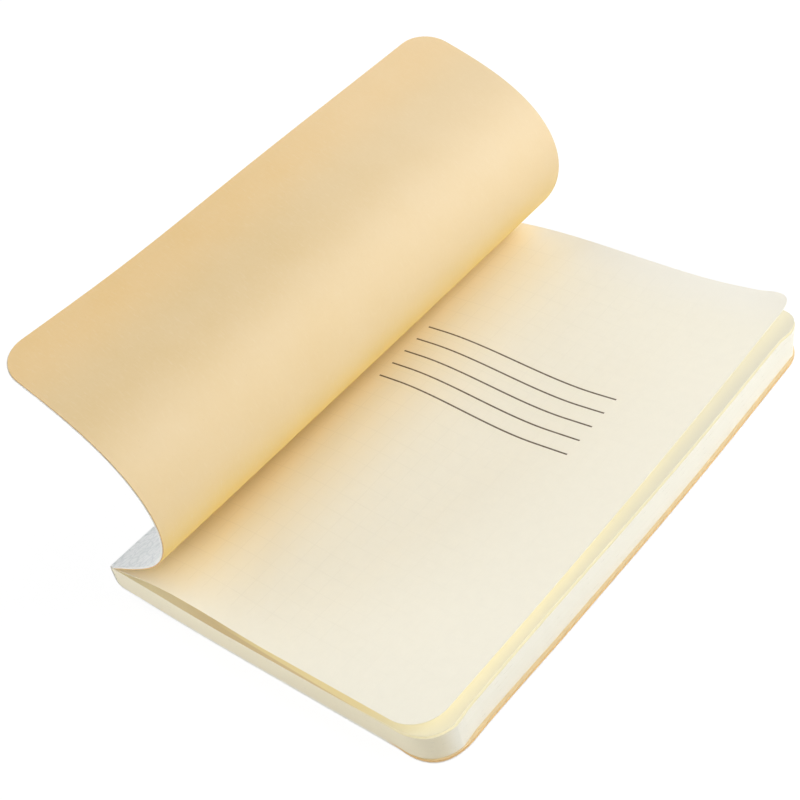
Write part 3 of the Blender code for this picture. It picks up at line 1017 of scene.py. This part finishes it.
def build_second_leaf(page, cut):
    """The leaf below the loose one: its root is a piece of its own, the rest of it is stiff."""
    reach = SECOND_HIGH.x - CREASE_X
    stops = [ROOT_START, SECOND_ROOT_END, reach]
    rows = stations(stops, BLOCK_CORNER)
    half = PAGE_HALF - corner_inset(reach - rows, BLOCK_CORNER)
    sheet = Sheet(rows, half)
    x = CREASE_X + sheet.d
    droop = np.clip((x - DROOP_START) / DROOP_REACH, 0.0, 1.0) ** 2
    low = shape_edge(loose_leaf(sheet, block_top(x) - SECOND_DROOP * droop), 1.0)
    low = corner_pull(low, (CREASE_X + reach, PAGE_HALF), SECOND_PULL)
    high = low + np.array([0.0, 0.0, LEAF_THICKNESS])
    papers = (page, page, cut)
    root = slice(0, sheet.row_at(stops[1]) + 1)
    rest = slice(sheet.row_at(stops[1]), len(rows))
    piece = build_piece("second_leaf_root", low, high, sheet.flat, papers, (True, False), root)
    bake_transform(piece)
    piece = build_piece("second_leaf_sheet", low, high, sheet.flat, papers, (False, True), rest)
    piece.visible_shadow = False
    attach(piece, "second_leaf")
    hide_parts("second_leaf")


# Text block

def block_floor(x):
    """Upper face of the lining of the back cover."""
    outer = np.interp(x, FLAT_PART[:, 0], FLAT_PART[:, 1])
    return outer + WRAP_THICKNESS + board_thickness(x) + 2.0 * CLEARANCE


def board_thickness(x):
    """Thickness of the lining of the back cover."""
    start, end = BOARD_START
    return LINING_THIN + (BOARD_THICKNESS - LINING_THIN) * smoothstep((x - start) / (end - start))


def stack_height(x, share):
    """Height in the text block at a share of its thickness."""
    top = block_top(x) - SLIT - BLOCK_UNDER_LEAF * smoothstep((x - BOW_START) / BOW_GROWTH)
    floor = block_floor(x)
    return floor + (top - floor) * share


def build_section(index, page, edges):
    """One sewn section as its pack of leaves, whose cut edges stand a little uneven."""
    name = f"section_{index}"
    tip, edge = BLOCK_TIP, BLOCK_EDGE
    rows = np.concatenate([tip + np.array(TIP_ROWS), stations([tip + STEP, edge], BLOCK_CORNER)])
    half = PAGE_HALF - corner_inset(edge - rows, BLOCK_CORNER)
    random.seed(FIRST_SEED + index)
    levels = [(0.0, -GROOVE)]
    for leaf in range(LEAVES_PER_SECTION):
        out = random.uniform(-UNEVEN, UNEVEN)
        for step, depth in ((0.25, out), (0.75, out), (1.0, -GROOVE)):
            levels.append(((leaf + step) / LEAVES_PER_SECTION, depth))
    columns, count, last = BLOCK_COLUMNS, len(rows), len(rows) - 1
    spread = np.linspace(-1.0, 1.0, columns + 1)
    slope = np.gradient(half, rows)
    normal_x = -slope / np.sqrt(slope ** 2 + 1.0)
    normal_y = 1.0 / np.sqrt(slope ** 2 + 1.0)
    run = run_length(np.stack([rows, half], axis=1))
    far = run[last] + 2.0 * half[last]
    rim = [(rows[i], -half[i], normal_x[i], -normal_y[i], run[i]) for i in range(count)]
    rim += [(edge, half[last] * s, 1.0, 0.0, run[last] + half[last] * (s + 1.0)) for s in spread[1:-1]]
    rim += [(rows[i], half[i], normal_x[i], normal_y[i], far + run[last] - run[i])
            for i in range(last, -1, -1)]
    rim += [(tip, half[0] * s, -1.0, 0.0, 0.0) for s in spread[-2:0:-1]]
    size = len(rim)

    def rim_index(i, j):
        """Place in the rim of a point of the page's grid, or None inside it."""
        if j == 0:
            return i
        if i == last and j < columns:
            return last + j
        if j == columns:
            return 2 * last + columns - i
        if i == 0:
            return size - j
        return None

    points, wall_uv, page_uv, lift = [], [], [], []

    def add_point(x, y, whole, fold, move, on_wall):
        z = float(stack_height(x, whole))
        reach = 1.0 - float(smoothstep((x - tip) / FOLD_REACH))
        inside = x + (spine_inside(z) + CLOTH_THICKNESS + FOLD_GAP + fold - tip) * reach
        points.append((inside + move[0], y + move[1], z))
        wall_uv.append(on_wall)
        page_uv.append((x - CREASE_X, y))
        lift.append(whole)

    for share, out in levels:
        phase = random.uniform(0.0, 6.28)
        fold = FOLD_ROUND * (1.0 - math.sqrt(1.0 - min(1.0, abs(2.0 * share - 1.0)) ** 2))
        whole = (index - 1 + share * SECTION_SHARE) / SECTIONS
        for x, y, nx, ny, along in rim:
            shift = out + 0.5 * UNEVEN * math.sin(along * WAVES_PER_METRE + phase)
            shift -= BLOCK_BACK * whole * max(nx, 0.0)
            add_point(x, y, whole, fold, (nx * shift, ny * shift), (along, whole * BLOCK_HEIGHT))
    starts = {}
    for level, whole in ((0, (index - 1) / SECTIONS), (len(levels) - 1, whole)):
        starts[level] = len(points)
        for x, wide in zip(rows[1:last], half[1:last]):
            near_edge = float(smoothstep((x - edge + BLOCK_BACK_REACH) / BLOCK_BACK_REACH))
            for s in spread[1:-1]:
                move = (-BLOCK_BACK * whole * near_edge, 0.0)
                add_point(x, wide * s, whole, FOLD_ROUND, move, (0.0, 0.0))
    points, lift = np.array(points), np.array(lift)
    pulled = corner_pull(points, (edge, PAGE_HALF), BLOCK_PULL)
    points = points + (pulled - points) * lift[:, None]
    points = shape_edge(points, lift)
    faces, slots, uv = [], [], []

    def add_face(ring, slot):
        faces.append(ring)
        slots.append(slot)
        uv.extend((page_uv, wall_uv)[slot][c] for c in ring)

    for k in range(len(levels) - 1):
        for j in range(size):
            a, b = k * size + j, k * size + (j + 1) % size
            add_face([a, b, b + size, a + size], 1)
    for level, start in starts.items():

        def grid_index(i, j):
            found = rim_index(i, j)
            if found is not None:
                return level * size + found
            return start + (i - 1) * (columns - 1) + j - 1

        for i in range(last):
            for j in range(columns):
                ring = [grid_index(i, j), grid_index(i + 1, j),
                        grid_index(i + 1, j + 1), grid_index(i, j + 1)]
                add_face(ring[::-1] if level == 0 else ring, 0)
    piece = mesh_object(f"{name}_leaves", points, faces, (page, edges), slots, np.array(uv))
    piece.data.set_sharp_from_angle(angle=math.radians(SECTION_SHARP))
    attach(piece, "book")
    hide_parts(name)


# Back cover and spine

def spine_outline():
    """Outer face of the spine and the back cover, from the crease to the flat, as (x, z)."""
    points = np.array(SPINE_POINTS) * MM
    ends = [2 * points[0] - points[1], *points, 2 * points[-1] - points[-2]]
    found = []
    for a, b, c, d in zip(ends, ends[1:], ends[2:], ends[3:]):
        count = max(4, math.ceil(np.linalg.norm(c - b) / SPINE_STEP))
        for i in range(count):
            t = i / count
            found.append(0.5 * (2 * b + (c - a) * t + (2 * a - 5 * b + 4 * c - d) * t * t
                                + (3 * b - a - 3 * c + d) * t ** 3))
    found.append(points[-1])
    return np.array(found)


SPINE = spine_outline()
SPINE_FOOT = int(np.argmin(np.abs(SPINE[:, 0] - SPINE_TURN_END[0]) + (SPINE[:, 1] > SPINE_TURN_END[1])))
SPINE_TURN, FLAT_PART = SPINE[:SPINE_FOOT], SPINE[SPINE_FOOT:]


def spine_inside(z):
    """X of the inner side of the skin at a height on the spine."""
    rows = SPINE_TURN[::-1]
    return float(np.interp(z - SPINE_TUCK, rows[:, 1], rows[:, 0])) + WRAP_THICKNESS


def across_profile(sheet, profile):
    """Points of a sheet with the same profile all along the spine."""
    x, y, z = np.broadcast_arrays(profile[:, 0:1], sheet.y, profile[:, 1:2])
    return shape_edge(np.stack([x, y, z], axis=2), 0.0)


def offset_profile(profile, distance):
    """A profile moved to its inner side, which is on its left as it runs down the spine."""
    tangent = np.gradient(profile, axis=0)
    tangent /= np.linalg.norm(tangent, axis=1, keepdims=True)
    return profile + np.stack([-tangent[:, 1], tangent[:, 0]], axis=1) * distance


def build_back_cover(skin, skin_cut, kraft, kraft_cut, gauze, page_cut):
    """The skin with its wrap round the spine, the lining, and the cloth behind the folds."""
    flat_rows = stations([SPINE[-1, 0], FORE_EDGE_X], BACK_CORNER)[1:]
    outer = np.concatenate([SPINE, np.stack([flat_rows, np.zeros(len(flat_rows))], axis=1)])
    inner = offset_profile(outer, WRAP_THICKNESS)
    half = PAGE_HALF + WRAP_OVERHANG - corner_inset(FORE_EDGE_X - outer[:, 0], BACK_CORNER)
    sheet = Sheet(run_length(outer), half)
    flat = np.stack([-sheet.d, sheet.y], axis=2)
    low, high = across_profile(sheet, inner), across_profile(sheet, outer)
    piece = build_piece("back_cover_wrap", low, high, flat, (skin, skin_cut, skin_cut), (False, True))
    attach(piece, "book")
    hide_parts("back_cover_skin")

    profile = inner[SPINE_FOOT + LINING_STARTS_AFTER:] + np.array([0.0, CLEARANCE])
    rows = profile[:, 0]
    sheet = Sheet(rows, PAGE_HALF - corner_inset(rows[-1] - rows, BACK_CORNER))
    thick = board_thickness(rows)
    low = across_profile(sheet, profile)
    high = across_profile(sheet, profile + np.stack([0.0 * thick, thick], axis=1))
    papers = (kraft, kraft, kraft_cut)
    piece = build_piece("back_lining_sheet", low, high, sheet.flat, papers, (True, True))
    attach(piece, "book")
    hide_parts("back_lining")

    rows = SPINE[(SPINE[:, 0] < CLOTH_LIMITS[0]) & (SPINE[:, 1] < CLOTH_LIMITS[1])]
    near = offset_profile(rows, WRAP_THICKNESS + 2.0 * CLEARANCE)
    deep = offset_profile(rows, WRAP_THICKNESS + CLOTH_THICKNESS + 6.0 * CLEARANCE)
    sheet = Sheet(run_length(rows), np.full(len(rows), PAGE_HALF - CLOTH_INSET))
    low, high = across_profile(sheet, near), across_profile(sheet, deep)
    piece = build_piece("spine_gauze", low, high, sheet.flat, (gauze, gauze, page_cut), (True, True))
    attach(piece, "book")
    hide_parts("spine_cloth")


# Room and camera

def background_rays(tree):
    """1 for the rays that see the white background."""
    path = add_node(tree, "ShaderNodeLightPath")
    found = path.outputs["Is Camera Ray"]
    for name in BACKGROUND_RAYS:
        either = add_node(tree, "ShaderNodeMath", operation="MAXIMUM")
        tree.links.new(found, either.inputs[0])
        tree.links.new(path.outputs[name], either.inputs[1])
        found = either.outputs[0]
    return found


def build_floor():
    """A floor that keeps a faint shadow and is white in the background."""
    material = bpy.data.materials.new("white_floor")
    material.use_nodes = True
    tree = material.node_tree
    tree.nodes.clear()
    link = tree.links.new
    output = add_node(tree, "ShaderNodeOutputMaterial")
    diffuse = add_node(tree, "ShaderNodeBsdfDiffuse")
    diffuse.inputs["Color"].default_value = FLOOR_GREY
    glow = add_node(tree, "ShaderNodeEmission")
    glow.inputs["Color"].default_value = WHITE
    glow.inputs["Strength"].default_value = FLOOR_GLOW
    mix = add_node(tree, "ShaderNodeMixShader")
    share = add_node(tree, "ShaderNodeMath", operation="MULTIPLY")
    share.inputs[1].default_value = FLOOR_WHITE_SHARE
    link(background_rays(tree), share.inputs[0])
    link(share.outputs[0], mix.inputs[0])
    link(diffuse.outputs[0], mix.inputs[1])
    link(glow.outputs[0], mix.inputs[2])
    link(mix.outputs[0], output.inputs["Surface"])
    corners = ((-1, -1), (1, -1), (1, 1), (-1, 1))
    points = [(x * FLOOR_HALF, y * FLOOR_HALF, FLOOR_LEVEL) for x, y in corners]
    floor = mesh_object("floor", points, [[0, 1, 2, 3]], (material,))


def build_world():
    """An even faint light all round, which is white in the background."""
    world = bpy.data.worlds.new("white_room")
    bpy.context.scene.world = world
    world.use_nodes = True
    tree = world.node_tree
    link = tree.links.new
    back = tree.nodes["Background"]
    back.inputs["Color"].default_value = WHITE
    strength = add_node(tree, "ShaderNodeMapRange")
    strength.inputs["To Min"].default_value = WORLD_LIGHT
    strength.inputs["To Max"].default_value = 1.0
    link(background_rays(tree), strength.inputs["Value"])
    link(strength.outputs[0], back.inputs["Strength"])


def direction(azimuth, elevation):
    """A direction of length one; angles in degrees, from +X and from level."""
    turn, rise = math.radians(azimuth), math.radians(elevation)
    return Vector((math.cos(rise) * math.cos(turn), math.cos(rise) * math.sin(turn), math.sin(rise)))


def build_lights():
    """Square lamps that look at the middle of the book."""
    for name, azimuth, elevation, power in LAMPS:
        lamp = bpy.data.lights.new(name, "AREA")
        lamp.shape = "SQUARE"
        lamp.size = LAMP_SIZE
        lamp.energy = power
        holder = place_in_scene(name, lamp)
        way = direction(azimuth, elevation)
        holder.location = way * LAMP_DISTANCE + Vector(LAMP_TARGET)
        holder.rotation_euler = way.to_track_quat("Z", "Y").to_euler()


def build_camera():
    data = bpy.data.cameras.new("camera")
    data.lens = CAMERA_LENS
    data.sensor_width = CAMERA_SENSOR
    data.clip_start = CAMERA_CLIP
    camera = place_in_scene("camera", data)
    level = direction(CAMERA_TURN, CAMERA_PITCH).to_track_quat("-Z", "Y")
    rolled = level @ Quaternion((0.0, 0.0, 1.0), math.radians(CAMERA_ROLL))
    camera.matrix_world = Matrix.LocRotScale(Vector(CAMERA_PLACE), rolled, None)
    bpy.context.scene.camera = camera


def main():
    kraft, kraft_cut = kraft_paper(), kraft_edge("kraft_cut_edge")
    rim = kraft_edge("kraft_rim", RIM_PALE_FROM)
    skin, skin_cut = cover_paper(), board_edge()
    title = title_paper()
    inner = finished(*squared_base("inner_page"))
    plain = finished(*paper_base("plain_page", PAPER))
    edges = edge_paper()
    build_cover(kraft, kraft_cut, skin, skin_cut)
    build_first_leaf(title, inner, plain)
    build_second_leaf(second_paper(), plain)
    for index in range(1, SECTIONS + 1):
        build_section(index, inner, edges)
    build_back_cover(skin, skin_cut, kraft, rim, cloth(), plain)
    for slot in frame["nodes"]["sewing_thread"].material_slots:
        slot.material = linen_thread()
    build_floor()
    build_world()
    build_lights()
    build_camera()
    bpy.context.scene.view_settings.view_transform = "Standard"


main()
bpy.context.view_layer.update()
